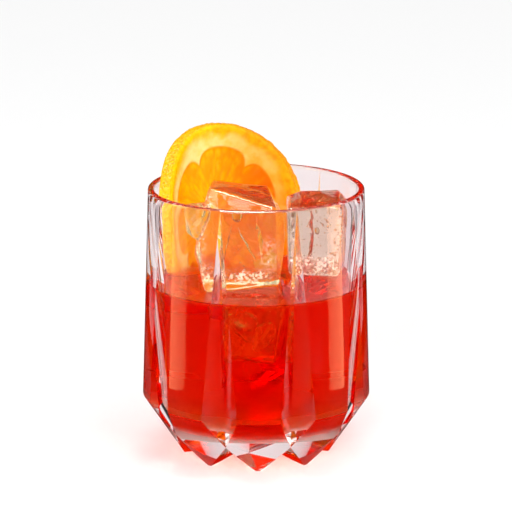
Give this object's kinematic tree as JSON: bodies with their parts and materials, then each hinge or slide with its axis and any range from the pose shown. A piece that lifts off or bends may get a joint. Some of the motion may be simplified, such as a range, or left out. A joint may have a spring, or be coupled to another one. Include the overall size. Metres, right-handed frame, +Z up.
{
  "type": "negroni",
  "caption": "Negroni in a cut tumbler with a grooved wall and a pointed foot, with ice and a wheel of orange standing in the drink against the wall.",
  "frame": {"origin": "middle of the base, on the surface that the glass stands on", "axes": "+Z up, the front of the drink as pictured faces -Y, +X to the viewer's right"},
  "size_m": [0.085, 0.0846, 0.1185],
  "materials": {
    "glass": "clear, polished",
    "drink": "clear red liquid",
    "ice": "wet, clear with frosty faces",
    "orange": "wet flesh in a cream pith and a pored skin"
  },
  "bodies": {
    "root": {"glass": "glass", "drink": "drink", "ice_cube_front": "ice", "ice_cube_back": "ice", "ice_cube_low": "ice", "orange_wheel": "orange"}
  },
  "joints": []
}
